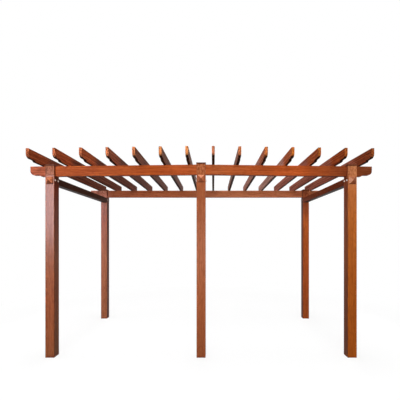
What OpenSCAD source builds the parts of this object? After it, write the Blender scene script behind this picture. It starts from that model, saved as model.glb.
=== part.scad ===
// Garden pergola in wood-look aluminium box section: five slotted posts carry
// two beam lines, two side rails tie the rows, and a row of rafters lies on top.
// Units are millimetres. X runs along the beams, Y from the front row to the
// back row, Z up. The origin is on the ground, midway under the whole frame.

/* [Posts] */
// Outer width of a square post
post_size = 100; // [85:1:140]
// Wall of the post tube
post_wall = 3; // [2:0.5:6]
// Outer corner radius of the post tube
post_corner = 4; // [2:0.5:8]
// Thickness of the plate that closes the foot of a post
foot_plate = 6; // [3:1:15]

/* [Plan] */
// Distance from the centre post to a corner post, centre to centre
bay_width = 1680; // [1200:10:2400]
// Distance from the front row to the back row, centre to centre
bay_depth = 1555; // [1000:5:2400]

/* [Beams] */
// Clear height under the beams at the corner posts
beam_clear = 2019; // [1800:1:2500]
// Depth of a beam
beam_depth = 114; // [90:1:160]
// Thickness of a beam
beam_thick = 40; // [25:1:60]
// Wall of the beam section
beam_wall = 2; // [1.5:0.5:4]
// How far a beam runs past the outer face of a corner post
beam_overhang = 182; // [130:1:300]
// How much higher the front beams lie on the centre post than on the corner posts
centre_rise = 20; // [0:1:40]
// Gap between the two front beams where they butt in the centre post
beam_butt = 1; // [1:0.5:3]

/* [Side rails] */
// Width and height of a square side rail
rail_size = 75; // [50:1:90]
// Wall of the rail section
rail_wall = 2; // [1.5:0.5:4]
// Distance from the top of a rail up to the underside of the beams
rail_drop = 15; // [5:1:60]

/* [Rafters] */
// Number of rafters, always even so that none lies over the centre post
rafter_count = 14; // [8:2:18]
// Gap between the outermost rafters and the outer faces of the corner posts
rafter_gap = 23; // [2:1:60]
// Depth of a rafter
rafter_depth = 114; // [90:1:160]
// Thickness of a rafter
rafter_thick = 30; // [20:1:45]
// Wall of the rafter section
rafter_wall = 1.6; // [1.2:0.2:3]
// How far the rafters run past the front faces of the front posts
rafter_front = 245; // [200:5:400]
// How far the rafters run past the rear faces of the back posts
rafter_back = 195; // [180:5:400]

/* [Shaped ends] */
// Height of the upright face at the tip
tip_face = 56; // [30:1:64]
// Length of the rounded nose under the tip
nose_length = 45; // [25:1:60]
// Length of the flat neck behind the nose
neck_length = 50; // [20:1:60]
// Length of the ogee that runs down to the full depth
ogee_length = 30; // [15:1:45]
// Height of the ogee
ogee_step = 16; // [8:1:22]
// Radius along the long edges of beams, rafters and rails
edge_radius = 2.5; // [1:0.5:3.5]

/* [Caps and bosses] */
// How far a post cap stands out past the faces of its post
cap_lip = 3; // [2:0.5:6]
// How far the skirt of a cap runs down over the head of its post
cap_skirt = 5; // [2:0.5:12]
// Thickness of a post cap
cap_thick = 15; // [8:1:25]
// Bevel around the top of a post cap
cap_bevel = 3; // [1:0.5:5]
// Wall of the moulded cap and its spigots
cap_wall = 3; // [2:0.5:4]
// Depth of the two spigots of a cap inside the post
spigot_depth = 14; // [8:1:30]
// Width of a pyramid boss
boss_width = 75; // [50:1:80]
// Height of a pyramid boss up the post
boss_height = 82; // [50:1:100]
// Height of the upright edge of a boss
boss_edge = 5; // [3:0.5:10]
// Height of the pyramid above that edge
boss_peak = 22; // [8:1:35]
// Wall of the moulded boss, which is open at its back
boss_wall = 3; // [2:0.5:3.5]
// Distance from the underside of the beam down to the top of a boss
boss_drop = 10; // [4:1:30]

/* [Fits] */
// Clearance on each side of a beam in its slot
slot_clearance = 0.3; // [0.2:0.1:1]
// Clearance between a cap and the beam under it
cap_clearance = 0.3; // [0.2:0.1:0.8]
// Clearance around a spigot in the post, and around the post in its cap
spigot_clearance = 0.3; // [0.2:0.1:0.8]

/* [Hidden] */
// Straight steps in each rounded corner, nose and ogee
corner_steps = 4;
nose_steps = 9;
ogee_steps = 8;
// Smallest inner radius in the corner of a tube
least_radius = 0.5;
// Length by which a cutting shape runs past what it cuts
cut_over = 1;
quarter_turn = 90;

wood_red = [0.60, 0.29, 0.14];
wood_dark = [0.50, 0.23, 0.11];
wood_light = [0.68, 0.36, 0.18];
cap_brown = [0.34, 0.17, 0.09];

half_post = post_size / 2;
cap_size = post_size + 2 * cap_lip;
slot_width = beam_thick + 2 * slot_clearance;
// The rows stand so that the rafters reach as far forwards as backwards of Y = 0
row_front = (rafter_front - rafter_back - bay_depth) / 2;
row_back = row_front + bay_depth;
// Distance of a beam tip from the middle, and the slope of a front beam
beam_reach = bay_width + half_post + beam_overhang;
beam_slope = atan(centre_rise / bay_width);
// Distance of the outermost rafters from the middle, and the spacing that follows
rafter_reach = bay_width + half_post + rafter_gap + rafter_thick / 2;
rafter_pitch = 2 * rafter_reach / (rafter_count - 1);
rafter_length = rafter_front + post_size + bay_depth + rafter_back;
// Distance from the middle of a beam to the edge of its flat top
seat_edge = beam_thick / 2 - edge_radius;

// Posts: name, side along X (-1 left, 0 centre, 1 right) and row (0 front, 1 back)
POSTS = [
    ["front_left", -1, 0],
    ["front_centre", 0, 0],
    ["front_right", 1, 0],
    ["back_left", -1, 1],
    ["back_right", 1, 1],
];
SIDES = [["left", -1], ["right", 1]];
RAFTERS = [for (i = [1 : rafter_count]) str(i < 10 ? "0" : "", i)];

// Underside and top of a beam at a distance x from the middle, in either row
function beam_under(x, row) =
    beam_clear + (row == 0 ? centre_rise * (1 - abs(x) / bay_width) : 0);
function beam_top(x, row) = beam_under(x, row) + beam_depth;

// Centre of a post on the ground
function post_place(p) = [p[1] * bay_width, p[2] == 0 ? row_front : row_back, 0];
// Top of a post tube: just over the highest edge of the beam in its slot
function post_top(p) =
    beam_top(max(0, abs(p[1]) * bay_width - half_post), p[2]) + cap_clearance;
// Floor of the slot: the lowest edge of the beam that lies in it
function slot_floor(p) = beam_under(abs(p[1]) * bay_width + half_post, p[2]);

// Points of an elliptical arc about a centre, from one angle to another
function arc(centre, rx, ry, from, to, steps) = [
    for (i = [0 : steps])
        let (a = from + (to - from) * i / steps)
            centre + [rx * cos(a), ry * sin(a)]
];

// Rectangle about the origin with rounded corners
function rounded_rectangle(w, h, r) = [
    for (corner = [0 : 3])
        let (
            from = corner * quarter_turn,
            middle = from + quarter_turn / 2,
            centre = [sign(cos(middle)) * (w / 2 - r), sign(sin(middle)) * (h / 2 - r)]
        )
            each arc(centre, r, r, from, from + quarter_turn, corner_steps)
];

// Underside of a shaped end as [distance from the tip, height above the full underside],
// from the upright face inwards: nose, neck and ogee. A skin moves it inside the wall.
function end_profile(depth, skin) =
    let (nose_drop = depth - tip_face - ogee_step)
    concat(
        arc([nose_length, depth - tip_face], nose_length - skin, nose_drop - skin,
            180, 270, nose_steps),
        [for (i = [0 : ogee_steps])
            let (u = i / ogee_steps)
                [nose_length + neck_length + ogee_length * u,
                 skin + ogee_step * (1 + cos(180 * u)) / 2]]
    );

// Side outline of a member from 0 to length. The near end is shaped, the far end too
// or else cut square, where the hollow runs out through it.
function member_outline(length, depth, far_shaped, skin = 0) =
    let (
        near = end_profile(depth, skin),
        last = len(near) - 1,
        end = skin > 0 ? length + cut_over : length
    )
    concat(
        [[skin, depth - skin]],
        near,
        far_shaped
            ? [for (i = [last : -1 : 0]) [length - near[i][0], near[i][1]]]
            : [[end, skin]],
        far_shaped ? [[length - skin, depth - skin]] : [[end, depth - skin]]
    );

// Prism along Y whose outline lies in the XZ plane
module side_prism(thick, outline) {
    translate([0, thick / 2, 0])
        rotate([90, 0, 0])
            linear_extrude(thick)
                polygon(outline);
}

// Hollow member along X from 0 to length, centred on Y = 0, with its underside on Z = 0
module shaped_member(length, depth, thick, wall, far_shaped) {
    difference() {
        intersection() {
            side_prism(thick, member_outline(length, depth, far_shaped));
            translate([0, 0, depth / 2])
                rotate([90, 0, 90])
                    linear_extrude(length)
                        polygon(rounded_rectangle(thick, depth, edge_radius));
        }
        side_prism(thick - 2 * wall, member_outline(length, depth, far_shaped, wall));
    }
}

// Square tube section with rounded corners inside and out
module tube_section(size, wall, corner) {
    inner = size - 2 * wall;
    difference() {
        polygon(rounded_rectangle(size, size, corner));
        polygon(rounded_rectangle(inner, inner, max(corner - wall, least_radius)));
    }
}

// Square plate with the same side view, in the XZ plane, from all four sides
module four_sided(size, side_view) {
    intersection_for (turn = [0, 90])
        rotate([0, 0, turn])
            side_prism(size, side_view);
}

// Roof along Y on upright sides, from the height foot up to its ridge
module roof(half, length, foot, ridge, slope) {
    eaves = ridge - half * tan(slope);
    side_prism(length, [[-half, foot], [half, foot], [half, eaves], [0, ridge], [-half, eaves]]);
}

// Pyramid on an upright edge: the common part of two crossed roofs, each with its own
// half width, ridge height and slope
module pyramid(half, foot, ridge, slope) {
    intersection() {
        roof(half[0], 2 * half[1], foot, ridge[0], slope[0]);
        rotate([0, 0, 90])
            roof(half[1], 2 * half[0], foot, ridge[1], slope[1]);
    }
}

// Cutting shape under a cap: the drawn outline, from below its spigots up to a height
module cap_cut(height) {
    reach = spigot_depth + cut_over;
    translate([0, 0, -reach])
        linear_extrude(reach + height)
            children();
}

// Square tube with a closed foot and a slot through its head for the beam
module post(p) {
    color(wood_red)
        translate(post_place(p))
            difference() {
                union() {
                    linear_extrude(post_top(p))
                        tube_section(post_size, post_wall, post_corner);
                    linear_extrude(foot_plate)
                        square(post_size - post_wall, center = true);
                }
                translate([-post_size, -slot_width / 2, slot_floor(p)])
                    cube([2 * post_size, slot_width, post_top(p)]);
            }
}

// Moulded cap: a flat top with a bevelled rim, a skirt over the head of the post, and a
// spigot down inside each cheek of the slot. It is hollow from below, and the inner wall
// of each spigot runs on up as a rib.
module post_cap(p) {
    half = cap_size / 2;
    plug = post_size - 2 * (post_wall + spigot_clearance);
    gap = slot_width / 2 + spigot_clearance;
    pocket = plug - 2 * cap_wall;
    socket = post_size + 2 * spigot_clearance;
    side_view = [
        [-half, -cap_skirt], [half, -cap_skirt],
        [half, cap_thick - cap_bevel], [half - cap_bevel, cap_thick],
        [cap_bevel - half, cap_thick], [-half, cap_thick - cap_bevel],
    ];
    color(cap_brown)
        translate(post_place(p) + [0, 0, post_top(p)])
            difference() {
                union() {
                    difference() {
                        four_sided(cap_size, side_view);
                        cap_cut(0)
                            polygon(rounded_rectangle(
                                socket, socket, post_corner + spigot_clearance));
                    }
                    translate([0, 0, -spigot_depth])
                        linear_extrude(spigot_depth + cap_bevel)
                            polygon(rounded_rectangle(plug, plug, post_corner - spigot_clearance));
                }
                cap_cut(cap_thick - cap_wall)
                    square([pocket, 2 * gap], center = true);
                cap_cut(0)
                    square([cap_size + 2 * cut_over, 2 * gap], center = true);
                for (cheek = [-1, 1])
                    cap_cut(cap_thick - cap_wall)
                        translate([0, cheek * (plug / 2 + gap) / 2])
                            square([pocket, plug / 2 - gap - 2 * cap_wall], center = true);
            }
}

// Moulded low pyramid on an upright edge, flat on the outer face of a post
module pyramid_boss(p) {
    outward = p[2] == 0 ? -1 : 1;
    half = [boss_width / 2, boss_height / 2];
    middle = beam_under(p[1] * bay_width, p[2]) - boss_drop - half[1];
    slope = [for (h = half) atan(boss_peak / h)];
    peak = boss_edge + boss_peak;
    color(wood_light)
        translate(post_place(p) + [0, outward * half_post, middle])
            rotate([-outward * 90, 0, 0])
                difference() {
                    pyramid(half, 0, [peak, peak], slope);
                    pyramid([for (h = half) h - boss_wall], -cut_over,
                        [for (a = slope) peak - boss_wall / cos(a)], slope);
                }
}

// One of the two front beams, which rises from its shaped tip to the centre post
module beam_front(side) {
    length = (beam_reach - beam_butt / 2) / cos(beam_slope);
    color(wood_red)
        mirror([side > 0 ? 1 : 0, 0, 0])
            translate([-beam_reach, row_front, beam_under(beam_reach, 0)])
                rotate([0, -beam_slope, 0])
                    shaped_member(length, beam_depth, beam_thick, beam_wall, false);
}

// Level beam over the back row, in one length
module beam_back() {
    color(wood_red)
        translate([-beam_reach, row_back, beam_clear])
            shaped_member(2 * beam_reach, beam_depth, beam_thick, beam_wall, true);
}

// Rail between the front and back post of one side, flush with their inner faces
module side_rail(side) {
    color(wood_dark)
        translate([
            side * (bay_width - half_post + rail_size / 2),
            row_front + half_post,
            beam_clear - rail_drop - rail_size / 2,
        ])
            rotate([-90, 0, 0])
                linear_extrude(bay_depth - post_size)
                    tube_section(rail_size, rail_wall, edge_radius);
}

// Rafter that rests on the rear edge of both beam tops, so it falls with the front beam
module rafter(index) {
    x = index * rafter_pitch - rafter_reach;
    seat = beam_top(abs(x) - rafter_thick / 2, 0) - beam_top(0, 1);
    tip_to_seat = rafter_front + half_post + bay_depth + seat_edge;
    color(wood_dark)
        translate([x, row_back + seat_edge, beam_top(0, 1)])
            rotate([-atan(seat / bay_depth), 0, 0])
                translate([0, -tip_to_seat, 0])
                    rotate([0, 0, 90])
                        shaped_member(rafter_length, rafter_depth, rafter_thick, rafter_wall, true);
}

for (p = POSTS) {
    post(p);
    post_cap(p);
    pyramid_boss(p);
}
for (s = SIDES) {
    beam_front(s[1]);
    side_rail(s[1]);
}
beam_back();
for (i = [0 : rafter_count - 1])
    rafter(i);
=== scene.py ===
"""Looks of a garden pergola in wood-look aluminium box section.

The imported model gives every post, beam, rail, rafter, cap and boss. This script gives
each of them its finish, adds the bolts on the posts, and sets the floor, the lamps and
the camera. Lengths are metres: +X runs along the beams, +Y from the front row of posts
to the back row, +Z up, and the floor is at Z = 0.
"""

import logging
import math
from dataclasses import dataclass, replace
from enum import Enum

import bmesh
import bpy
from mathutils import Matrix, Vector


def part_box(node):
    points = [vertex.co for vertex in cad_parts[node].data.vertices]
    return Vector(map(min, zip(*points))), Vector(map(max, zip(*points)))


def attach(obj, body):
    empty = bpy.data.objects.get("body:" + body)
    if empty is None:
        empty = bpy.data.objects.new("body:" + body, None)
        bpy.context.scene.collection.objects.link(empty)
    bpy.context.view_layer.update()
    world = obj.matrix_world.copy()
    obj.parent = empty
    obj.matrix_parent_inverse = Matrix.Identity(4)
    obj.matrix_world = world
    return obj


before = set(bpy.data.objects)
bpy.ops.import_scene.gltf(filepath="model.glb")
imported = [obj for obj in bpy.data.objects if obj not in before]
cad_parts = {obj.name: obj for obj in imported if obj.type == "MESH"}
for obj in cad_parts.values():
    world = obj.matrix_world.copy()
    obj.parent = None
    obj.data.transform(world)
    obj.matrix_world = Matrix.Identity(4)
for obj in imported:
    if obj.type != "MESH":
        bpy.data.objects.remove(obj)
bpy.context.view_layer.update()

MILLIMETRE = 0.001
QUARTER_TURN = math.pi / 2

Colour = tuple[float, float, float]
Point = tuple[float, float, float]

WHITE = (1.0, 1.0, 1.0)

log = logging.getLogger("pergola")


class Axis(Enum):
    """An axis of the frame."""

    X = 0
    Y = 1
    Z = 2


class Side(Enum):
    """A side face of a post, with the sign of X that it looks towards."""

    LEFT = -1.0
    RIGHT = 1.0


class Row(Enum):
    """The two rows of posts."""

    FRONT = "front"
    BACK = "back"


# ---- shader sheets


class Signal:
    """One output socket of a node sheet, with Python's operators for maths on numbers."""

    def __init__(self, sheet: "Sheet", socket: bpy.types.NodeSocket | None) -> None:
        """Holds the socket.

        Args:
            sheet: The sheet that it belongs to.
            socket: The output socket, or None on a node that has no output.
        """
        self.sheet = sheet
        self.socket = socket

    def _maths(self, operation: str, first: "Signal | float",
               second: "Signal | float") -> "Signal":
        """Returns: The result of one Math node on two values."""
        return self.sheet.node("ShaderNodeMath", {"operation": operation}, {0: first, 1: second})

    def __add__(self, other: "Signal | float") -> "Signal":
        """Returns: self + other."""
        return self._maths("ADD", self, other)

    def __radd__(self, other: float) -> "Signal":
        """Returns: other + self."""
        return self._maths("ADD", other, self)

    def __sub__(self, other: "Signal | float") -> "Signal":
        """Returns: self - other."""
        return self._maths("SUBTRACT", self, other)

    def __rsub__(self, other: float) -> "Signal":
        """Returns: other - self."""
        return self._maths("SUBTRACT", other, self)

    def __mul__(self, other: "Signal | float") -> "Signal":
        """Returns: self * other."""
        return self._maths("MULTIPLY", self, other)

    def __rmul__(self, other: float) -> "Signal":
        """Returns: other * self."""
        return self._maths("MULTIPLY", other, self)

    def __truediv__(self, other: "Signal | float") -> "Signal":
        """Returns: self / other."""
        return self._maths("DIVIDE", self, other)


def with_alpha(colour: Signal | Colour) -> Signal | tuple[float, float, float, float]:
    """Returns: A plain colour with full alpha, or a signal as it is."""
    return colour if isinstance(colour, Signal) else (*colour, 1.0)


class Sheet:
    """A material's or a world's nodes, with one method that adds any node."""

    # The Mix node's sockets for colours. Its sockets for numbers have the same names.
    MIX_SHARE, MIX_FIRST, MIX_SECOND, MIX_RESULT = 0, 6, 7, 2

    def __init__(self, owner: bpy.types.Material | bpy.types.World, grain: Axis = Axis.Z,
                 shift: Point = (0.0, 0.0, 0.0)) -> None:
        """Clears the nodes.

        Args:
            owner: The material or world that the nodes belong to.
            grain: Axis of the grain in every pattern.
            shift: Where the patterns start, which sets two materials apart.
        """
        owner.use_nodes = True
        self.tree = owner.node_tree
        self.tree.nodes.clear()
        self.grain = grain
        self.shift = shift

    def node(self, kind: str, settings: dict | None = None, inputs: dict | None = None,
             output: int | str = 0) -> Signal:
        """Adds one node.

        Args:
            kind: Blender's type name of the node.
            settings: Properties, set first. The entry "stops" gives a ramp's stops as
                (position, colour) pairs.
            inputs: Values or signals by the socket's name or number.
            output: The socket that the signal stands for.

        Returns:
            The chosen output as a signal.
        """
        made = self.tree.nodes.new(kind)
        for name, value in (settings or {}).items():
            if name == "stops":
                self._set_stops(made.color_ramp, value)
            else:
                setattr(made, name, value)
        for key, value in (inputs or {}).items():
            if isinstance(value, Signal):
                self.tree.links.new(value.socket, made.inputs[key])
            else:
                made.inputs[key].default_value = value
        return Signal(self, made.outputs[output] if made.outputs else None)

    @staticmethod
    def _set_stops(ramp: bpy.types.ColorRamp, stops: list[tuple[float, Colour]]) -> None:
        """Gives a ramp its stops.

        Args:
            ramp: The ramp, which has two stops when it is new.
            stops: (position, colour) pairs in rising order.
        """
        while len(ramp.elements) < len(stops):
            ramp.elements.new(1.0)
        for element, (position, colour) in zip(ramp.elements, stops):
            element.position = position
            element.color = with_alpha(colour)

    def _mix(self, kind: str, share: Signal | float, first: Signal | Colour,
             second: Signal | Colour) -> Signal:
        """Adds one Mix node for colours.

        Args:
            kind: Blend type.
            share: Factor of the node.
            first: Colour A.
            second: Colour B.

        Returns:
            The mixed colour.
        """
        inputs = {self.MIX_SHARE: share, self.MIX_FIRST: with_alpha(first),
                  self.MIX_SECOND: with_alpha(second)}
        settings = {"data_type": "RGBA", "blend_type": kind}
        return self.node("ShaderNodeMix", settings, inputs, self.MIX_RESULT)

    def blend(self, share: Signal | float, first: Signal | Colour,
              second: Signal | Colour) -> Signal:
        """Returns: The first colour where the share is 0, and the second where it is 1."""
        return self._mix("MIX", share, first, second)

    def tinted(self, colour: Signal | Colour, tint: Signal | Colour) -> Signal:
        """Returns: The colour multiplied by a tint."""
        return self._mix("MULTIPLY", 1.0, colour, tint)

    def between(self, value: Signal, low: float, high: float) -> Signal:
        """Returns: 0 at low, 1 at high and a smooth change between them."""
        return self.node(
            "ShaderNodeMapRange", {"interpolation_type": "SMOOTHSTEP"},
            {"Value": value, "From Min": low, "From Max": high},
        )

    def place(self, along: float, across: float) -> Signal:
        """Returns: Object coordinates with so many cycles per metre along and across the grain."""
        scale = tuple(along if axis is self.grain else across for axis in Axis)
        return self.node(
            "ShaderNodeMapping", {"vector_type": "POINT"},
            {"Vector": self.spot(), "Scale": scale, "Location": self.shift},
        )

    def spot(self) -> Signal:
        """Returns: The Object coordinates, in metres."""
        return self.node("ShaderNodeTexCoord", output="Object")

    def along(self, axis: Axis) -> Signal:
        """Returns: The Object coordinate on one axis, in metres."""
        return self.node("ShaderNodeSeparateXYZ", inputs={0: self.spot()}, output=axis.value)

    def facing(self, axis: Axis) -> Signal:
        """Returns: How far a face looks along one axis, from -1 to 1."""
        normal = self.node("ShaderNodeNewGeometry", output="Normal")
        return self.node("ShaderNodeSeparateXYZ", inputs={0: normal}, output=axis.value)

    def bump(self, height: Signal, depth: float, strength: float) -> Signal:
        """Returns: The normal on a relief of the given depth in metres."""
        return self.node("ShaderNodeBump", inputs={
            "Strength": strength, "Distance": depth, "Height": height,
        })

    def surface(self, shader: Signal) -> None:
        """Joins a shader to the sheet's material output."""
        self.node("ShaderNodeOutputMaterial", inputs={"Surface": shader})


# ---- tones and figures


@dataclass(frozen=True)
class Tones:
    """Colour that drifts along one axis: partly the member's own tone and partly painted light and
    shade.

    Attributes:
        axis: Axis that the tone changes along.
        stops: (coordinate in metres, colour) pairs in rising order.
    """

    axis: Axis
    stops: tuple[tuple[float, Colour], ...]

    def signal(self, sheet: Sheet) -> Signal:
        """Makes the colour over the surface.

        Args:
            sheet: The material's sheet.

        Returns:
            The colour.
        """
        first, last = self.stops[0][0], self.stops[-1][0]
        share = (sheet.along(self.axis) - first) / (last - first)
        stops = [((spot - first) / (last - first), colour) for spot, colour in self.stops]
        return sheet.node("ShaderNodeValToRGB", {"stops": stops}, {0: share})


def tone_signal(sheet: Sheet, tone: Colour | Tones) -> Signal | Colour:
    """Returns: A tone as something that a blend takes."""
    return tone.signal(sheet) if isinstance(tone, Tones) else tone


@dataclass(frozen=True)
class Band:
    """Levels of a signal between which a tone comes in.

    Attributes:
        start: Level where the tone starts.
        full: Level where it is complete, on either side of the start.
        strength: Share of the tone where it is complete.
    """

    start: float
    full: float
    strength: float = 1.0

    def level(self, sheet: Sheet, signal: Signal) -> Signal:
        """Returns: 0 before the start, and 1 past the level where the tone is complete."""
        return sheet.between(signal, self.start, self.full)

    def share(self, sheet: Sheet, signal: Signal, factor: float = 1.0) -> Signal:
        """Returns: The share of the tone, whose strength is taken times a factor."""
        return self.level(sheet, signal) * min(self.strength * factor, 1.0)


@dataclass(frozen=True)
class Stain:
    """The two tones or tints that a grain is printed in.

    Attributes:
        dark: The dark one.
        pale: The pale one.
    """

    dark: Colour = (0.62, 0.52, 0.48)
    pale: Colour = (1.25, 1.42, 1.50)


@dataclass(frozen=True)
class Figure:
    """One layer of a grain: noise that is stained dark or pale where it is high or low.

    Attributes:
        along: Cycles per metre along the grain.
        across: Cycles per metre across the grain.
        detail: Number of finer octaves.
        roughness: Weight of the finer octaves.
        warp: How far the noise bends itself.
        dark: Levels where the dark stain comes in, or None.
        pale: Levels where the pale stain comes in, or None.
    """

    along: float
    across: float
    detail: float
    roughness: float = 0.55
    warp: float = 0.0
    dark: Band | None = None
    pale: Band | None = None

    def noise(self, sheet: Sheet) -> Signal:
        """Returns: The layer's noise, from 0 to 1."""
        return sheet.node(
            "ShaderNodeTexNoise", {"noise_dimensions": "3D"},
            {"Vector": sheet.place(self.along, self.across), "Scale": 1.0,
             "Detail": self.detail, "Roughness": self.roughness, "Distortion": self.warp},
        )

    def lay(self, sheet: Sheet, noise: Signal, tone: Signal | Colour, stain: Stain,
            factor: float = 1.0) -> Signal:
        """Lays the layer over a tone.

        Args:
            sheet: The material's sheet.
            noise: The layer's noise.
            tone: The tone so far.
            stain: What the layer is printed in.
            factor: Strength of the layer.

        Returns:
            The tone with the layer on it.
        """
        for band, stained in ((self.pale, stain.pale), (self.dark, stain.dark)):
            if band is not None:
                tone = sheet.blend(band.share(sheet, noise, factor), tone, stained)
        return tone


BOARDS = Figure(0.35, 2.6, 2.0, pale=Band(0.40, 0.66))
BROAD_FIGURE = Figure(1.3, 34.0, 6.0, 0.62, 0.6,
                      dark=Band(0.50, 0.28, 0.60), pale=Band(0.50, 0.74, 0.65))
DRIFT = Figure(2.2, 9.0, 3.0, 0.5, 0.4, dark=Band(0.46, 0.72))
STREAKS = Figure(3.0, 150.0, 4.0, 0.6, 0.2,
                 dark=Band(0.50, 0.66, 0.60), pale=Band(0.48, 0.34, 0.50))
FLECKS = Figure(24.0, 70.0, 2.0, 0.5,
                dark=Band(0.52, 0.68, 0.24), pale=Band(0.48, 0.32, 0.22))
PORES = Figure(16.0, 520.0, 2.0, 0.5, dark=Band(0.60, 0.74, 0.45))
MOTTLE = Figure(34.0, 62.0, 5.0, 0.62, 0.3, dark=Band(0.50, 0.38), pale=Band(0.50, 0.62))
CAP_FIGURE = Figure(14.0, 90.0, 5.0, 0.6, 0.8,
                    dark=Band(0.48, 0.30, 0.8), pale=Band(0.48, 0.72))
BOSS_FIGURE = Figure(28.0, 40.0, 4.0, 0.6, 0.8,
                     dark=Band(0.50, 0.34, 0.6), pale=Band(0.50, 0.66, 0.6))
SPECKS = Figure(700.0, 700.0, 2.0)
MARKS = Figure(180.0, 180.0, 4.0, dark=Band(0.42, 0.68))


# ---- parts of the wood coating


@dataclass(frozen=True)
class ShadeAndSheenFade:
    """A change of tone along a member. On the rafters it is painted shade and painted sheen behind
    the front beam: darker towards the left, paler and greyer towards the right.

    Attributes:
        axis: Axis that the tone changes along.
        start: Coordinate where the change starts.
        end: Coordinate where it is complete, on either side of the start.
        tone: Tone that it changes to.
    """

    axis: Axis
    start: float
    end: float
    tone: Colour | Tones

    def apply(self, sheet: Sheet, colour: Signal) -> Signal:
        """Returns: The colour with the change of tone laid over it."""
        share = sheet.between(sheet.along(self.axis), self.start, self.end)
        return sheet.blend(share, colour, tone_signal(sheet, self.tone))


@dataclass(frozen=True)
class GrowthLines:
    """Growth lines that run along the grain and wander.

    Attributes:
        strength: Strength of their dark stain.
        pitch: Spacing of the lines.
        sway: How far they wander with the drift of the grain.
    """

    # The wave goes on by ALONG steps in a metre along the grain and by STEPS from one line
    # to the next, and each step is TURN radians. Its slant makes it show on every face.
    ALONG = 0.5
    STEPS = 2.86
    TURN = 2.2
    SLANT = (1.0, 0.83, 0.71)
    CREST = Band(0.35, 1.0)

    strength: float = 0.34
    pitch: float = 62 * MILLIMETRE
    sway: float = 22.0

    def signal(self, sheet: Sheet, drift: Signal) -> Signal:
        """Makes the lines.

        Args:
            sheet: The material's sheet.
            drift: Slow noise that bends the lines.

        Returns:
            1 on a line and 0 between lines.
        """
        place = sheet.place(self.ALONG, self.STEPS / self.pitch)
        across = sheet.node("ShaderNodeVectorMath", {"operation": "DOT_PRODUCT"},
                            {0: place, 1: self.SLANT}, "Value")
        wave = sheet.node("ShaderNodeMath", {"operation": "SINE"},
                          {0: (across + self.sway * drift) * self.TURN})
        return self.CREST.level(sheet, wave)


@dataclass(frozen=True)
class Head:
    """Coarse, mottled grain on the machined head of a post.

    Attributes:
        foot: Height where the head starts.
        strength: Strength of the coarse grain.
    """

    EDGE = 4 * MILLIMETRE
    DULLING = 0.85

    foot: float
    strength: float = 1.0

    def mask(self, sheet: Sheet) -> Signal:
        """Returns: 1 on the head and 0 below it."""
        return sheet.between(sheet.along(Axis.Z), self.foot - self.EDGE, self.foot)

    def dulled(self, sheet: Sheet, film: float) -> Signal:
        """Returns: The weight of a clear film that the machining has mostly taken away."""
        return film * (1.0 - self.DULLING * self.mask(sheet))

    def apply(self, sheet: Sheet, tint: Signal, stain: Stain) -> Signal:
        """Lays the coarse grain over the tint.

        Args:
            sheet: The material's sheet.
            tint: The tint so far.
            stain: What the grain is printed in.

        Returns:
            The tint with the coarse grain on the head.
        """
        mottle = MOTTLE.noise(sheet)
        for band, stained in ((MOTTLE.dark, stain.dark), (MOTTLE.pale, stain.pale)):
            full = band.start + (band.full - band.start) / self.strength
            share = self.mask(sheet) * sheet.between(mottle, band.start, full)
            tint = sheet.blend(share, tint, stained)
        return tint


@dataclass(frozen=True)
class SideShade:
    """Painted shade on the side face of a post that looks into the frame, laid as a tint.

    Attributes:
        side: The side face.
        tint: Tint of the painted shade.
    """

    FACES = Band(0.7, 0.9)

    side: Side
    tint: Colour | Tones

    def apply(self, sheet: Sheet, tint: Signal) -> Signal:
        """Returns: The tint of the coating, with that of the side face laid over it."""
        share = self.FACES.level(sheet, self.side.value * sheet.facing(Axis.X))
        return sheet.blend(share, tint, sheet.tinted(tint, tone_signal(sheet, self.tint)))


@dataclass(frozen=True)
class EndsAndHighlight:
    """Tones of a rafter's shaped ends: partly their own paler colour and partly a painted
    highlight.

    Attributes:
        front: Tone of the faces that look towards -Y.
        back: Tone of the faces that look towards +Y.
    """

    # Where the ends start, from the middle of the frame. The tint of the grain gives way
    # there by the strength of FACES.
    REACH = 0.98
    EDGE = 10 * MILLIMETRE
    FACES = Band(0.45, 0.95, 0.65)

    front: Colour | Tones
    back: Colour | Tones

    def apply(self, sheet: Sheet, colour: Signal, tint: Signal) -> tuple[Signal, Signal]:
        """Lays the tones of the ends over a coating.

        Args:
            sheet: The material's sheet.
            colour: The ground so far.
            tint: The tint of the grain so far.

        Returns:
            The ground and the tint with the ends.
        """
        for sign, tone in ((-1.0, self.front), (1.0, self.back)):
            beyond = sheet.between(sheet.along(Axis.Y) * sign, self.REACH, self.REACH + self.EDGE)
            end = beyond * self.FACES.level(sheet, sheet.facing(Axis.Y) * sign)
            colour = sheet.blend(end, colour, tone_signal(sheet, tone))
            tint = sheet.blend(end * self.FACES.strength, tint, WHITE)
        return colour, tint


# ---- finishes


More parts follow.
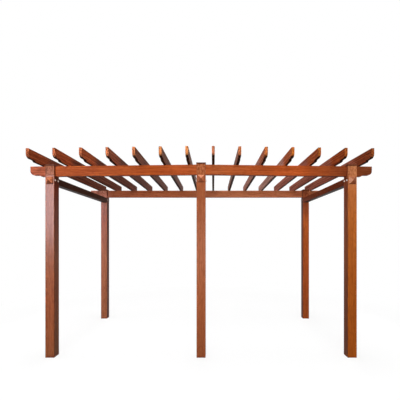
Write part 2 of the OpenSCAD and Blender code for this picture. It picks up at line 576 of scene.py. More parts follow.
@dataclass(frozen=True, kw_only=True)
class WoodCoating:
    """Printed wood-grain coating, sealed under a thin clear film.

    Attributes:
        name: Name of the material.
        ground: Main tone.
        start: Shift of the pattern, so that no two finishes repeat.
        grain: Axis of the grain.
        fade: Change of tone along the member, as painted shade and painted sheen.
        under: Painted shade on the faces that look down, where there is any.
        ends: Tones of the shaped ends, partly their own colour and partly a painted highlight.
        head: Coarse grain of a machined head.
        flank: Tint of painted shade on a side face.
        foot: Heights where a post starts to darken towards the floor, in the grain's dark tint,
            and where the darkening is complete.
        stain: What the grain is printed in.
        streaks: Fine streaks.
        bold: Strength of the fine streaks.
        patchy: Strength of the slow, broad changes of tone.
        lines: Growth lines.
        film: Weight of the clear film.
        gloss: Specular level of the coating under the film.
    """

    SHIFT_RATIOS = (1.0, 1.7, 2.3)
    UNDERSIDE_SHADE = Band(-0.15, -0.55)
    ROUGHNESS = 0.46
    PORE_ROUGHNESS = 0.14
    PALE_POLISH = 0.08
    FILM_ROUGHNESS = 0.28
    # Depth and strength of the relief, and how deep pores and lines are as shares of it.
    RELIEF = 0.25 * MILLIMETRE
    RELIEF_STRENGTH = 0.6
    PORE_DEPTH = 0.7
    LINE_DEPTH = 0.35

    name: str
    ground: Tones
    start: float
    grain: Axis = Axis.Z
    fade: ShadeAndSheenFade | None = None
    under: Colour | None = None
    ends: EndsAndHighlight | None = None
    head: Head | None = None
    flank: SideShade | None = None
    foot: Band | None = None
    stain: Stain = Stain()
    streaks: Figure = STREAKS
    bold: float = 1.0
    patchy: float = 0.25
    lines: GrowthLines = GrowthLines()
    film: float = 0.0
    gloss: float = 0.04

    def build(self) -> bpy.types.Material:
        """Builds the material.

        Returns:
            The material with its nodes.
        """
        material = bpy.data.materials.new(self.name)
        shift = tuple(ratio * self.start for ratio in self.SHIFT_RATIOS)
        sheet = Sheet(material, self.grain, shift)
        layers = {BROAD_FIGURE: 1.0, DRIFT: self.patchy, BOARDS: self.patchy,
                  self.streaks: self.bold, FLECKS: 1.0}
        noises = {layer: layer.noise(sheet) for layer in (*layers, PORES)}
        lines = self.lines.signal(sheet, noises[DRIFT])

        tint = WHITE
        for layer, strength in layers.items():
            tint = layer.lay(sheet, noises[layer], tint, self.stain, strength)
        if self.head is not None:
            tint = self.head.apply(sheet, tint, self.stain)
        tint = sheet.blend(lines * self.lines.strength, tint, self.stain.dark)
        tint = PORES.lay(sheet, noises[PORES], tint, self.stain)
        # Painted shade on the side face that looks into the frame.
        if self.flank is not None:
            tint = self.flank.apply(sheet, tint)
        if self.foot is not None:
            low = self.foot.share(sheet, sheet.along(Axis.Z))
            tint = sheet.blend(low, tint, self.stain.dark)
        colour = self._ground(sheet)
        # Paler ends: partly their own colour, partly a painted highlight.
        if self.ends is not None:
            colour, tint = self.ends.apply(sheet, colour, tint)

        pores = PORES.dark.level(sheet, noises[PORES])
        pale = BROAD_FIGURE.pale.level(sheet, noises[BROAD_FIGURE])
        height = 1.0 - self.PORE_DEPTH * pores - self.LINE_DEPTH * lines
        sheet.surface(sheet.node("ShaderNodeBsdfPrincipled", inputs={
            "Base Color": sheet.tinted(colour, tint),
            "Roughness": self.ROUGHNESS + self.PORE_ROUGHNESS * pores - self.PALE_POLISH * pale,
            "Normal": sheet.bump(height, self.RELIEF, self.RELIEF_STRENGTH),
            "Specular IOR Level": self.gloss,
            "Coat Weight": self.head.dulled(sheet, self.film) if self.head else self.film,
            "Coat Roughness": self.FILM_ROUGHNESS,
        }))
        return material

    def _ground(self, sheet: Sheet) -> Signal:
        """Makes the tone under the grain, with the painted shade and sheen of its fade and the
        painted shade on the faces that look down.

        Args:
            sheet: The material's sheet.

        Returns:
            The tone.
        """
        colour = self.ground.signal(sheet)
        # Painted shade and painted sheen along the member.
        if self.fade is not None:
            colour = self.fade.apply(sheet, colour)
        # Painted shade on the faces that look down.
        if self.under is not None:
            share = self.UNDERSIDE_SHADE.level(sheet, sheet.facing(Axis.Z))
            colour = sheet.blend(share, colour, self.under)
        return colour


@dataclass(frozen=True, kw_only=True)
class Moulding:
    """Moulded plastic in a wood look, slightly grainy.

    Attributes:
        name: Name of the material.
        start: Shift of the pattern, so that no two finishes repeat.
        grain: Axis of the grain.
    """

    ROUGHNESS = 0.50
    SPECK_ROUGHNESS = 0.15
    SPECK_HEIGHT = 0.3
    RELIEF = 0.3 * MILLIMETRE
    RELIEF_STRENGTH = 0.5
    GLOSS = 0.12

    name: str
    start: float
    grain: Axis = Axis.Z

    def build(self) -> bpy.types.Material:
        """Builds the material.

        Returns:
            The material with its nodes.
        """
        material = bpy.data.materials.new(self.name)
        sheet = Sheet(material, self.grain, (self.start, self.start, self.start))
        colour, figure = self._figure(sheet)
        specks = SPECKS.noise(sheet)
        height = figure + self.SPECK_HEIGHT * specks
        sheet.surface(sheet.node("ShaderNodeBsdfPrincipled", inputs={
            "Base Color": colour,
            "Roughness": self.ROUGHNESS + self.SPECK_ROUGHNESS * specks,
            "Normal": sheet.bump(height, self.RELIEF, self.RELIEF_STRENGTH),
            "Specular IOR Level": self.GLOSS,
        }))
        return material

    def _figure(self, sheet: Sheet) -> tuple[Signal, Signal]:
        """Returns: The colour and the noise of the grain, from the kind of moulding."""
        raise NotImplementedError


@dataclass(frozen=True, kw_only=True)
class CapFinish(Moulding):
    """Moulding of the caps.

    Attributes:
        ground: Main colour.
        stain: Colours of the grain.
    """

    ground: Colour
    stain: Stain

    def _figure(self, sheet: Sheet) -> tuple[Signal, Signal]:
        """Returns: The colour and the noise of the grain."""
        noise = CAP_FIGURE.noise(sheet)
        return CAP_FIGURE.lay(sheet, noise, self.ground, self.stain), noise


@dataclass(frozen=True)
class FacetLightAndShade:
    """Painted light and shade of a pyramid boss: one tone for each facet.

    Attributes:
        top: Tone of the facet that looks up.
        left: Tone of the facet towards -X.
        right: Tone of the facet towards +X.
        foot: Tone of the facet that looks down.
    """

    top: Colour
    left: Colour
    right: Colour
    foot: Colour = (0.21, 0.052, 0.018)


@dataclass(frozen=True, kw_only=True)
class BossFinish(Moulding):
    """Stained moulding of a pyramid boss.

    Each facet has a tone of painted light and shade, pale where it faces the light and dark where
    it looks down, and painted shadow lines run along the lower and right-hand rims.

    Attributes:
        facets: Painted light and shade, one tone for each facet.
        lower_rim: Height of the lower rim.
        right_rim: X of the rim towards +X.
    """

    GROUND = (0.40, 0.110, 0.040)
    STAIN = Stain((0.60, 0.50, 0.45), (1.30, 1.50, 1.60))
    # Levels between which a facet counts as looking along an axis, or against it.
    POSITIVE = Band(0.15, 0.35)
    NEGATIVE = Band(-0.15, -0.35)
    # Painted shadow lines, by the distance from the rim along Z and X, with their tones.
    LOWER_SHADOW_LINE = Band(8 * MILLIMETRE, 4.8 * MILLIMETRE, 0.9)
    LOWER_SHADOW_TONE = (0.075, 0.020, 0.008)
    RIGHT_SHADOW_LINE = Band(-6 * MILLIMETRE, -3 * MILLIMETRE, 0.7)
    RIGHT_SHADOW_TONE = (0.14, 0.030, 0.012)

    facets: FacetLightAndShade
    lower_rim: float
    right_rim: float

    def _figure(self, sheet: Sheet) -> tuple[Signal, Signal]:
        """Lays the painted light and shade of the facets, the grain and the painted shadow lines.

        Args:
            sheet: The material's sheet.

        Returns:
            The colour and the noise of the grain.
        """
        rise = sheet.facing(Axis.Z)
        side = sheet.facing(Axis.X)
        colour = self.GROUND
        # Painted light and shade: a tone for each facet.
        for band, direction, tone in (
            (self.POSITIVE, rise, self.facets.top),
            (self.NEGATIVE, side, self.facets.left),
            (self.POSITIVE, side, self.facets.right),
            (self.NEGATIVE, rise, self.facets.foot),
        ):
            colour = sheet.blend(band.level(sheet, direction), colour, tone)
        noise = BOSS_FIGURE.noise(sheet)
        colour = sheet.tinted(colour, BOSS_FIGURE.lay(sheet, noise, WHITE, self.STAIN))
        # Painted shadow lines along the lower and right-hand rims.
        for line, distance, tone in (
            (self.LOWER_SHADOW_LINE, sheet.along(Axis.Z) - self.lower_rim, self.LOWER_SHADOW_TONE),
            (self.RIGHT_SHADOW_LINE, sheet.along(Axis.X) - self.right_rim, self.RIGHT_SHADOW_TONE),
        ):
            colour = sheet.blend(line.share(sheet, distance), colour, tone)
        return colour, noise


@dataclass(frozen=True)
class PlatedSteel:
    """Zinc-plated steel of the bolts, with light handling marks.

    Attributes:
        name: Name of the material.
        bright: Colour of clean plating.
        dull: Colour of worn plating.
    """

    METALLIC = 0.85
    ROUGHNESS = 0.28
    WEAR = 0.22
    RELIEF = 0.1 * MILLIMETRE
    RELIEF_STRENGTH = 0.2

    name: str
    bright: Colour
    dull: Colour

    def build(self) -> bpy.types.Material:
        """Builds the material.

        Returns:
            The material with its nodes.
        """
        material = bpy.data.materials.new(self.name)
        sheet = Sheet(material)
        marks = MARKS.noise(sheet)
        worn = MARKS.dark.level(sheet, marks)
        sheet.surface(sheet.node("ShaderNodeBsdfPrincipled", inputs={
            "Base Color": sheet.blend(worn, self.bright, self.dull),
            "Metallic": self.METALLIC,
            "Roughness": self.ROUGHNESS + self.WEAR * worn,
            "Normal": sheet.bump(marks, self.RELIEF, self.RELIEF_STRENGTH),
        }))
        return material


# ---- packed and new pieces

WELD_DISTANCE = 0.01 * MILLIMETRE
SHARP_ANGLE = math.radians(35.0)


def dress(node: str, material: bpy.types.Material) -> None:
    """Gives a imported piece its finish.

    Args:
        node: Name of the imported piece.
        material: Its finish.
    """
    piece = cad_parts[node]
    if not piece.material_slots:
        piece.data.materials.append(material)
    for slot in piece.material_slots:
        slot.material = material
    log.info("%s wears %s", node, material.name)


def turned_shape(shape: bmesh.types.BMesh, profile: list[tuple[float, float]], turn: Matrix,
                 steps: int) -> None:
    """Adds a turned solid to a mesh.

    Args:
        shape: The mesh that is added to. The vertices of its earlier solids are tagged.
        profile: (radius, height) points from the axis outwards and back to the axis.
        turn: Place of the solid, whose axis is local Z.
        steps: Number of steps round the axis.
    """
    points = [shape.verts.new((radius, 0.0, height)) for radius, height in profile]
    edges = [shape.edges.new(pair) for pair in zip(points, points[1:])]
    bmesh.ops.spin(
        shape, geom=points + edges, cent=(0.0, 0.0, 0.0), axis=(0.0, 0.0, 1.0),
        angle=math.tau, steps=steps, use_merge=True, use_duplicate=False,
    )
    fresh = [vertex for vertex in shape.verts if not vertex.tag]
    bmesh.ops.remove_doubles(shape, verts=fresh, dist=WELD_DISTANCE)
    fresh = [vertex for vertex in shape.verts if not vertex.tag]
    bmesh.ops.transform(shape, matrix=turn, verts=fresh)
    for vertex in fresh:
        vertex.tag = True


def finished_piece(name: str, shape: bmesh.types.BMesh,
                   material: bpy.types.Material) -> bpy.types.Object:
    """Turns a mesh into a piece that rides on the frame.

    Args:
        name: Name of the piece.
        shape: Its mesh in the frame's own coordinates, which is freed.
        material: Its finish.

    Returns:
        The new object, at the origin.
    """
    bmesh.ops.recalc_face_normals(shape, faces=shape.faces)
    mesh = bpy.data.meshes.new(name)
    shape.to_mesh(mesh)
    shape.free()
    mesh.materials.append(material)
    for face in mesh.polygons:
        face.use_smooth = True
    mesh.set_sharp_from_angle(angle=SHARP_ANGLE)
    piece = bpy.data.objects.new(name, mesh)
    bpy.context.collection.objects.link(piece)
    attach(piece, "root")
    log.info("%s has %d faces", name, len(mesh.polygons))
    return piece


# ---- sub-assemblies


@dataclass
class Posts:
    """Posts with their caps and bosses.

    Attributes:
        coatings: Finish of each post, by the post's place.
        facets: Painted light and shade of each boss's facets, by the post's place.
        cap: Finish of the caps.
        boss_shift: Shift of the grain from one boss to the next.
    """

    coatings: dict[str, WoodCoating]
    facets: dict[str, FacetLightAndShade]
    cap: CapFinish
    boss_shift: float = 2.4

    def dress(self) -> None:
        """Gives every post, cap and boss its finish."""
        cap = self.cap.build()
        for number, (place, coating) in enumerate(self.coatings.items()):
            dress(f"post_{place}", coating.build())
            dress(f"post_cap_{place}", cap)
            low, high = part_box(f"pyramid_boss_{place}")
            boss = BossFinish(name=f"boss_moulding_{place}", start=self.boss_shift * number,
                              facets=self.facets[place], lower_rim=low.z, right_rim=high.x)
            dress(f"pyramid_boss_{place}", boss.build())


@dataclass
class Members:
    """Beams, rails or rafters that share a finish.

    Attributes:
        nodes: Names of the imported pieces.
        coating: Their finish.
    """

    nodes: list[str]
    coating: WoodCoating

    def dress(self) -> None:
        """Gives every member its finish."""
        material = self.coating.build()
        for node in self.nodes:
            dress(node, material)


@dataclass
class PostBolts:
    """Dome-headed bolts on the side faces of the posts, just under the beams.

    Attributes:
        sides: Side faces that carry bolts, by the post's place.
        drop: Distance from the top of the side rails down to the bolts.
        insets: Distances of the bolts from the outer face of the post, along Y.
        head_radius: Radius of the dome.
        head_height: Height of the dome above its washer.
        washer_radius: Radius of the washer.
        washer_thick: Thickness of the washer.
        washer_bevel: Bevel of the washer's rim.
        steps: Steps round a head.
        arc_steps: Steps of the dome's profile.
    """

    sides: dict[str, tuple[Side, ...]]
    drop: float = 29 * MILLIMETRE
    insets: tuple[float, float] = (20 * MILLIMETRE, 80 * MILLIMETRE)
    head_radius: float = 9 * MILLIMETRE
    head_height: float = 7 * MILLIMETRE
    washer_radius: float = 11 * MILLIMETRE
    washer_thick: float = 2 * MILLIMETRE
    washer_bevel: float = 0.5 * MILLIMETRE
    steps: int = 24
    arc_steps: int = 6

    def profile(self) -> list[tuple[float, float]]:
        """Draws a washer with a dome on it.

        Returns:
            (radius, height) points from the axis outwards and back to the axis.
        """
        angles = (QUARTER_TURN * step / self.arc_steps for step in range(self.arc_steps))
        dome = [
            (self.head_radius * math.cos(angle),
             self.washer_thick + self.head_height * math.sin(angle))
            for angle in angles
        ]
        rim = [
            (0.0, 0.0),
            (self.washer_radius, 0.0),
            (self.washer_radius, self.washer_thick - self.washer_bevel),
            (self.washer_radius - self.washer_bevel, self.washer_thick),
        ]
        return [*rim, *dome, (0.0, self.washer_thick + self.head_height)]

    def build(self, finishes: dict[Row, PlatedSteel]) -> None:
        """Makes the bolts of every post.

        Args:
            finishes: Finish of the bolts in each row.
        """
        materials = {row: finish.build() for row, finish in finishes.items()}
        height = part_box("side_rail_left")[1].z - self.drop
        for place, sides in self.sides.items():
            row = Row(place.split("_")[0])
            low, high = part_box(f"post_{place}")
            outer, inwards = (low.y, 1.0) if row is Row.FRONT else (high.y, -1.0)
            shape = bmesh.new()
            for side in sides:
                face = high.x if side is Side.RIGHT else low.x
                turn = Matrix.Rotation(side.value * QUARTER_TURN, 4, "Y")
                for inset in self.insets:
                    spot = Vector((face, outer + inwards * inset, height))
                    seat = Matrix.Translation(spot) @ turn
                    turned_shape(shape, self.profile(), seat, self.steps)
            finished_piece(f"bolts_{place}", shape, materials[row])


# ---- studio


class Duty(Enum):
    """What a lamp does: light the coating, show in its gloss, or both."""

    FILL = "fill"
    SHEEN = "sheen"
    BOTH = "both"


@dataclass(frozen=True)
class Softbox:
    """A rectangular lamp.

    Attributes:
        name: Name of the lamp.
        spot: Where it stands.
        aim: The point that it faces.
        size: Width and height.
        power: Power in watts.
        duty: What it does.
        spread: Angle in degrees that its light keeps within.
        tint: Colour of its light.
    """

    name: str
    spot: Point
    aim: Point
    size: tuple[float, float]
    power: float
    duty: Duty = Duty.FILL
    spread: float = 180.0
    tint: Colour = WHITE

    def build(self) -> None:
        """Makes the lamp."""
        lamp = bpy.data.lights.new(self.name, "AREA")
        lamp.shape = "RECTANGLE"
        lamp.size, lamp.size_y = self.size
        lamp.energy = self.power
        lamp.spread = math.radians(self.spread)
        lamp.color = self.tint
        stand = bpy.data.objects.new(self.name, lamp)
        stand.location = self.spot
        towards = Vector(self.aim) - Vector(self.spot)
        stand.rotation_euler = towards.to_track_quat("-Z", "Y").to_euler()
        stand.visible_glossy = self.duty is not Duty.FILL
        stand.visible_diffuse = self.duty is not Duty.SHEEN
        bpy.context.collection.objects.link(stand)


@dataclass
class Studio:
    """Floor, world, lamps and camera.

    Attributes:
        lamps: The lamps.
        ambient: Brightness of the world on the object.
        lens: Focal length of the camera in millimetres.
        stand: Where the camera stands.
        shift: Shift of the camera's frame.
    """

    # The floor: half its width, its paleness to the eye and to light that goes on to the
    # object, the share of its own glow near the frame, and the distances from the middle
    # between which the glow takes over.
    REACH = 60.0
    PAINT = 0.9
    BOUNCE = 0.04
    GLOW_NEAR = 0.80
    GLOW_FAR = (2.2, 4.5)
    SENSOR_WIDTH = 36.0

    lamps: list[Softbox]
    ambient: float = 0.05
    lens: float = 25.3
    stand: Point = (0.133, -3.9225, 1.3065)
    shift: tuple[float, float] = (-0.0325, 0.10)

    def build(self) -> None:
        """Sets the whole studio."""
        for lamp in self.lamps:
            lamp.build()
        self._world()
        self._floor()
        self._camera()
        bpy.context.scene.view_settings.view_transform = "Standard"

    def _seen(self, sheet: Sheet) -> Signal:
        """Tells what a ray is for.

        Args:
            sheet: The sheet of the world or the floor.

        Returns:
            1 for rays that show the backdrop itself, and 0 for rays that carry light.
        """
        seen = sheet.node("ShaderNodeLightPath", output="Is Camera Ray")
        for other in ("Is Glossy Ray", "Is Transmission Ray"):
            ray = sheet.node("ShaderNodeLightPath", output=other)
            seen = sheet.node("ShaderNodeMath", {"operation": "MAXIMUM"}, {0: seen, 1: ray})
        return seen

    def _matt(self, sheet: Sheet, paleness: float) -> Signal:
        """Returns: Matt grey paint."""
        return sheet.node("ShaderNodeBsdfDiffuse", inputs={"Color": with_alpha((paleness,) * 3)})

    def _world(self) -> None:
        """Makes a plain world: white to look at, softer as a light."""
        world = bpy.data.worlds.new("studio")
        bpy.context.scene.world = world
        sheet = Sheet(world)
        strength = self.ambient + (1.0 - self.ambient) * self._seen(sheet)
        shader = sheet.node("ShaderNodeBackground", inputs={
            "Color": with_alpha(WHITE), "Strength": strength,
        })
        sheet.node("ShaderNodeOutputWorld", inputs={"Surface": shader})

    def _floor(self) -> None:
        """Lays the floor under the posts."""
        shape = bmesh.new()
        bmesh.ops.create_grid(shape, x_segments=1, y_segments=1, size=self.REACH)
        mesh = bpy.data.meshes.new("floor")
        shape.to_mesh(mesh)
        shape.free()
        mesh.materials.append(self._floor_material())
        floor = bpy.data.objects.new("floor", mesh)
        bpy.context.collection.objects.link(floor)

    def _floor_material(self) -> bpy.types.Material:
        """Builds a floor that shows white, but for the shadow that the object casts on it.

        Returns:
            Its material.
        """
        material = bpy.data.materials.new("floor_paint")
        sheet = Sheet(material)
        glow = sheet.node("ShaderNodeEmission", inputs={
            "Color": with_alpha(WHITE), "Strength": 1.0,
        })
        away = sheet.node("ShaderNodeVectorMath", {"operation": "LENGTH"},
                          {0: sheet.spot()}, "Value")
        share = self.GLOW_NEAR + (1.0 - self.GLOW_NEAR) * sheet.between(away, *self.GLOW_FAR)
        shown = sheet.node("ShaderNodeMixShader", inputs={
            0: share, 1: self._matt(sheet, self.PAINT), 2: glow,
        })
        sheet.surface(sheet.node("ShaderNodeMixShader", inputs={
            0: self._seen(sheet), 1: self._matt(sheet, self.BOUNCE), 2: shown,
        }))
        return material

    def _camera(self) -> None:
        """Stands the camera level in front of the frame, looking along +Y."""
        data = bpy.data.cameras.new("camera")
        data.sensor_width = self.SENSOR_WIDTH
        data.lens = self.lens
        data.shift_x, data.shift_y = self.shift
        camera = bpy.data.objects.new("camera", data)
        camera.location = self.stand
        camera.rotation_euler = (QUARTER_TURN, 0.0, 0.0)
        bpy.context.collection.objects.link(camera)
        bpy.context.scene.camera = camera


# ---- the pergola

# A post's machined head starts at the top of its boss.
HEAD_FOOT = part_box("pyramid_boss_front_centre")[1].z
POST_FOOT = Band(26 * MILLIMETRE, 0.0, 0.8)

# Tints of the painted shade on the posts' side faces that look into the frame; on the front posts
# they change with height.
BACK_SIDE_SHADE = (0.34, 0.27, 0.26)
FRONT_LEFT_SIDE_SHADE = Tones(Axis.Z, (
    (0.0, (0.58, 0.52, 0.14)), (0.7, (0.70, 0.62, 0.34)), (1.05, (0.78, 0.78, 0.76)),
    (1.5, (0.64, 0.45, 0.38)), (1.88, (0.66, 0.36, 0.31)), (1.98, (0.40, 0.26, 0.21)),
))
FRONT_RIGHT_SIDE_SHADE = Tones(Axis.Z, (
    (0.0, (0.46, 0.40, 0.16)), (0.7, (0.56, 0.46, 0.30)), (1.15, (0.80, 0.70, 0.74)),
    (1.88, (0.86, 0.64, 0.62)),
))

# Each post's ground changes with height, partly as the coating's own tone and partly as painted
# light and shade: darker towards the floor, paler near the tops of the front-right and back-left
# posts, and on the back-right post lighter under the roof and darker at its head.
POST_COATINGS = {
    "front_left": WoodCoating(
        name="post_wood_front_left", start=3.1,
        ground=Tones(Axis.Z, (
            (0.0, (0.33, 0.094, 0.034)), (0.6, (0.40, 0.102, 0.036)),
            (1.1, (0.37, 0.105, 0.040)), (2.2, (0.37, 0.110, 0.044)),
        )),
        head=Head(HEAD_FOOT, 1.7), flank=SideShade(Side.RIGHT, FRONT_LEFT_SIDE_SHADE), foot=POST_FOOT,
        film=0.12,
    ),
    "front_centre": WoodCoating(
        name="post_wood_front_centre", start=5.7,
        ground=Tones(Axis.Z, (
            (0.0, (0.30, 0.076, 0.026)), (0.6, (0.37, 0.098, 0.034)),
            (1.1, (0.42, 0.122, 0.048)), (1.85, (0.36, 0.095, 0.030)),
            (2.2, (0.38, 0.105, 0.036)),
        )),
        head=Head(HEAD_FOOT, 1.4), foot=POST_FOOT, film=0.06,
    ),
    "front_right": WoodCoating(
        name="post_wood_front_right", start=8.9,
        ground=Tones(Axis.Z, (
            (0.0, (0.36, 0.076, 0.008)), (0.9, (0.42, 0.100, 0.012)),
            (1.5, (0.45, 0.118, 0.020)), (1.85, (0.47, 0.136, 0.036)),
            (1.96, (0.50, 0.165, 0.060)), (2.2, (0.50, 0.180, 0.075)),
        )),
        head=Head(HEAD_FOOT, 0.7), flank=SideShade(Side.LEFT, FRONT_RIGHT_SIDE_SHADE), foot=POST_FOOT,
        film=0.06,
    ),
    "back_left": WoodCoating(
        name="post_wood_back_left", start=12.4,
        ground=Tones(Axis.Z, (
            (0.0, (0.42, 0.130, 0.060)), (1.1, (0.46, 0.145, 0.068)),
            (1.6, (0.42, 0.095, 0.038)), (1.9, (0.44, 0.130, 0.070)),
            (2.2, (0.50, 0.180, 0.110)),
        )),
        head=Head(HEAD_FOOT), flank=SideShade(Side.RIGHT, BACK_SIDE_SHADE), foot=POST_FOOT, film=0.04,
    ),
    "back_right": WoodCoating(
        name="post_wood_back_right", start=15.2,
        ground=Tones(Axis.Z, (
            (0.0, (0.38, 0.076, 0.018)), (0.9, (0.43, 0.083, 0.018)),
            (1.6, (0.54, 0.112, 0.022)), (1.85, (0.40, 0.090, 0.030)),
            (2.2, (0.24, 0.075, 0.034)),
        )),
        head=Head(HEAD_FOOT), flank=SideShade(Side.LEFT, BACK_SIDE_SHADE), foot=POST_FOOT, film=0.04,
    ),
}
# The ground changes along the beam: a paler painted sheen at the left tip, darker towards the
# right end, and the coating's own tone between. Its faces that look down get painted shade.
FRONT_BEAM_WOOD = WoodCoating(
    name="beam_wood_front", grain=Axis.X, start=21.3,
    ground=Tones(Axis.X, (
        (-1.90, (0.53, 0.124, 0.054)), (-1.72, (0.51, 0.116, 0.047)),
        (-1.57, (0.51, 0.102, 0.020)), (-1.13, (0.46, 0.094, 0.022)),
        (-0.57, (0.405, 0.072, 0.012)), (-0.18, (0.45, 0.086, 0.020)),
        (0.16, (0.45, 0.108, 0.030)), (0.66, (0.42, 0.082, 0.019)),
        (1.05, (0.50, 0.094, 0.019)), (1.28, (0.38, 0.076, 0.018)),
        (1.46, (0.29, 0.060, 0.016)), (1.90, (0.21, 0.052, 0.018)),
    )),
    under=(0.16, 0.036, 0.012), bold=1.4, gloss=0.02,
)
# The ground changes along the beam, partly as the coating's own tone and partly as painted light,
# as on the pale left tail. Its faces that look down get painted shade.
BACK_BEAM_WOOD = WoodCoating(
    name="beam_wood_back", grain=Axis.X, start=27.9,
    ground=Tones(Axis.X, (
        (-1.90, (0.46, 0.155, 0.100)), (-1.72, (0.46, 0.155, 0.100)),
        (-1.55, (0.34, 0.090, 0.036)), (-0.42, (0.39, 0.102, 0.040)),
        (0.30, (0.47, 0.150, 0.066)), (1.34, (0.48, 0.150, 0.064)),
        (1.90, (0.48, 0.150, 0.064)),
    )),
    under=(0.14, 0.038, 0.016), bold=1.4, gloss=0.02,
)
# The ground changes from rafter to rafter, partly as their own tone and partly as painted light
# and shade: the middle rafters are darker as painted shade and greyer as painted sheen. Their
# faces that look down get near-black painted shade.
RAFTER_WOOD = WoodCoating(
    name="rafter_wood", grain=Axis.Y, start=33.6,
    ground=Tones(Axis.X, (
        (-1.70, (0.38, 0.080, 0.026)), (-1.44, (0.50, 0.105, 0.032)),
        (-1.18, (0.50, 0.112, 0.036)), (-0.92, (0.38, 0.095, 0.038)),
        (-0.65, (0.28, 0.095, 0.046)), (-0.13, (0.24, 0.085, 0.036)),
        (0.13, (0.24, 0.075, 0.026)), (0.39, (0.28, 0.080, 0.030)),
        (0.65, (0.47, 0.105, 0.032)), (0.92, (0.52, 0.105, 0.020)),
        (1.18, (0.47, 0.098, 0.020)), (1.44, (0.40, 0.070, 0.011)),
        (1.70, (0.28, 0.056, 0.018)),
    )),
    # Painted shade and painted sheen where the rafters run on behind the front beam: darker on the
    # left, paler and greyer on the right.
    fade=ShadeAndSheenFade(Axis.Y, -0.79, -0.62, Tones(Axis.X, (
        (-1.44, (0.21, 0.054, 0.026)), (0.13, (0.23, 0.080, 0.048)),
        (0.39, (0.21, 0.060, 0.026)), (0.65, (0.48, 0.160, 0.100)),
        (0.92, (0.58, 0.270, 0.200)), (1.18, (0.45, 0.130, 0.080)),
        (1.70, (0.38, 0.105, 0.060)),
    ))),
    under=(0.045, 0.015, 0.008),
    # The paler front ends are partly their own colour and partly a painted highlight, brightest on
    # the middle rafters.
    ends=EndsAndHighlight(
        front=Tones(Axis.X, (
            (-1.70, (0.52, 0.135, 0.052)), (-0.92, (0.55, 0.165, 0.070)),
            (-0.13, (0.74, 0.270, 0.090)), (0.13, (0.50, 0.165, 0.078)),
            (0.92, (0.52, 0.140, 0.025)), (1.70, (0.28, 0.070, 0.018)),
        )),
        back=(0.58, 0.18, 0.070),
    ),
    stain=Stain(dark=(0.45, 0.38, 0.36), pale=(1.50, 1.75, 1.85)),
    streaks=replace(STREAKS, along=1.6, across=85.0), bold=1.5, patchy=0.14,
    lines=GrowthLines(strength=0.60, pitch=24 * MILLIMETRE, sway=8.0), gloss=0.01,
)
# The ground darkens towards the left rail as painted shade, and the faces that look down get
# painted shade.
RAIL_WOOD = WoodCoating(
    name="rail_wood", grain=Axis.Y, start=41.8,
    ground=Tones(Axis.X, ((-1.60, (0.075, 0.026, 0.014)), (1.60, (0.26, 0.052, 0.016)))),
    under=(0.040, 0.014, 0.008), lines=GrowthLines(strength=0.50), gloss=0.02,
)
CAP_MOULDING = CapFinish(
    name="cap_moulding", start=2.7, grain=Axis.X, ground=(0.115, 0.032, 0.014),
    stain=Stain(dark=(0.065, 0.017, 0.008), pale=(0.19, 0.058, 0.025)),
)
# Painted light and shade of each boss: a tone for each facet, pale where it faces the light and
# dark where it looks down.
BACK_FACET_LIGHT_AND_SHADE = FacetLightAndShade(top=(0.50, 0.180, 0.090), left=(0.42, 0.120, 0.048),
                     right=(0.34, 0.095, 0.038))
BOSS_FACET_LIGHT_AND_SHADE = {
    "front_left": FacetLightAndShade(top=(0.50, 0.165, 0.075), left=(0.52, 0.150, 0.060),
                         right=(0.54, 0.155, 0.062)),
    "front_centre": FacetLightAndShade(top=(0.64, 0.250, 0.120), left=(0.36, 0.092, 0.034),
                           right=(0.38, 0.095, 0.034)),
    "front_right": FacetLightAndShade(top=(0.42, 0.140, 0.065), left=(0.54, 0.235, 0.135),
                          right=(0.24, 0.070, 0.030)),
    "back_left": BACK_FACET_LIGHT_AND_SHADE,
    "back_right": BACK_FACET_LIGHT_AND_SHADE,
}
BOLTED_SIDES = {
    "front_left": (Side.RIGHT,),
    "front_centre": (Side.LEFT, Side.RIGHT),
    "front_right": (Side.LEFT,),
    "back_left": (Side.RIGHT,),
    "back_right": (Side.LEFT,),
}
# The front bolts' pale, warm plating is partly a painted highlight; the back bolts are darkened as
# painted shade.
BOLT_STEELS = {
    Row.FRONT: PlatedSteel("bolt_steel", (0.84, 0.70, 0.61), (0.52, 0.40, 0.33)),
    Row.BACK: PlatedSteel("bolt_steel_painted_shade", (0.26, 0.17, 0.13), (0.14, 0.085, 0.060)),
}

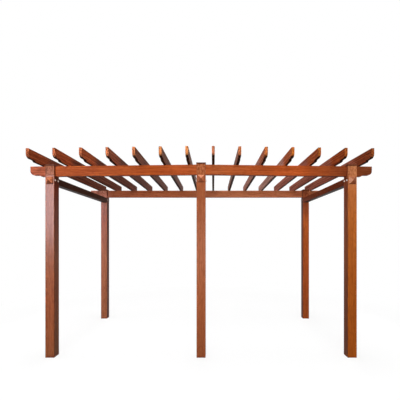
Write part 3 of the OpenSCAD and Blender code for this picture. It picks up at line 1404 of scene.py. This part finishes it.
LAMPS = [
    Softbox("front_low", spot=(0.0, -12.0, 1.35), aim=(0.0, 0.0, 2.6), size=(4.0, 1.6),
            power=96.0, spread=60.0),
    Softbox("front_high", spot=(-0.3, -9.0, 7.0), aim=(0.0, -0.5, 1.6), size=(7.0, 3.5),
            power=399.0),
    Softbox("front_left", spot=(-2.2, -6.0, 2.6), aim=(0.0, -0.8, 1.6), size=(1.6, 1.2),
            power=18.5),
    Softbox("gloss_panel", spot=(-4.2, -5.3, 2.3), aim=(-1.7, -0.8, 1.9), size=(1.0, 2.0),
            power=520.0, duty=Duty.SHEEN, tint=(0.86, 0.84, 1.0)),
    Softbox("top", spot=(0.0, 0.0, 14.0), aim=(0.0, 0.0, 0.0), size=(5.0, 5.0),
            power=1440.0, duty=Duty.BOTH),
    Softbox("side_left", spot=(-4.5, -0.6, 4.4), aim=(0.3, -0.5, 2.1), size=(1.6, 1.6),
            power=30.0, spread=120.0),
    Softbox("side_right", spot=(4.5, -0.6, 4.4), aim=(-0.3, -0.5, 2.1), size=(1.6, 1.6),
            power=12.0, spread=120.0),
    Softbox("left_wing", spot=(-3.0, 0.0, 1.2), aim=(-1.6, 0.0, 1.2), size=(2.2, 2.0),
            power=10.0),
    Softbox("right_wing", spot=(3.0, 0.0, 1.2), aim=(1.6, 0.0, 1.2), size=(2.2, 2.0),
            power=10.0),
    Softbox("rear", spot=(0.0, 24.0, 3.0), aim=(0.0, 0.0, 1.4), size=(5.0, 2.0),
            power=4200.0),
]


def main() -> None:
    """Dresses the pergola, adds its bolts and sets the studio."""
    logging.basicConfig(level=logging.INFO, format="%(name)s: %(message)s")
    rafters = sorted(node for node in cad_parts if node.startswith("rafter_"))
    Posts(POST_COATINGS, BOSS_FACET_LIGHT_AND_SHADE, CAP_MOULDING).dress()
    Members(["beam_front_left", "beam_front_right"], FRONT_BEAM_WOOD).dress()
    Members(["beam_back"], BACK_BEAM_WOOD).dress()
    Members(["side_rail_left", "side_rail_right"], RAIL_WOOD).dress()
    Members(rafters, RAFTER_WOOD).dress()
    PostBolts(BOLTED_SIDES).build(BOLT_STEELS)
    Studio(LAMPS).build()


if __name__ == "__main__":
    main()
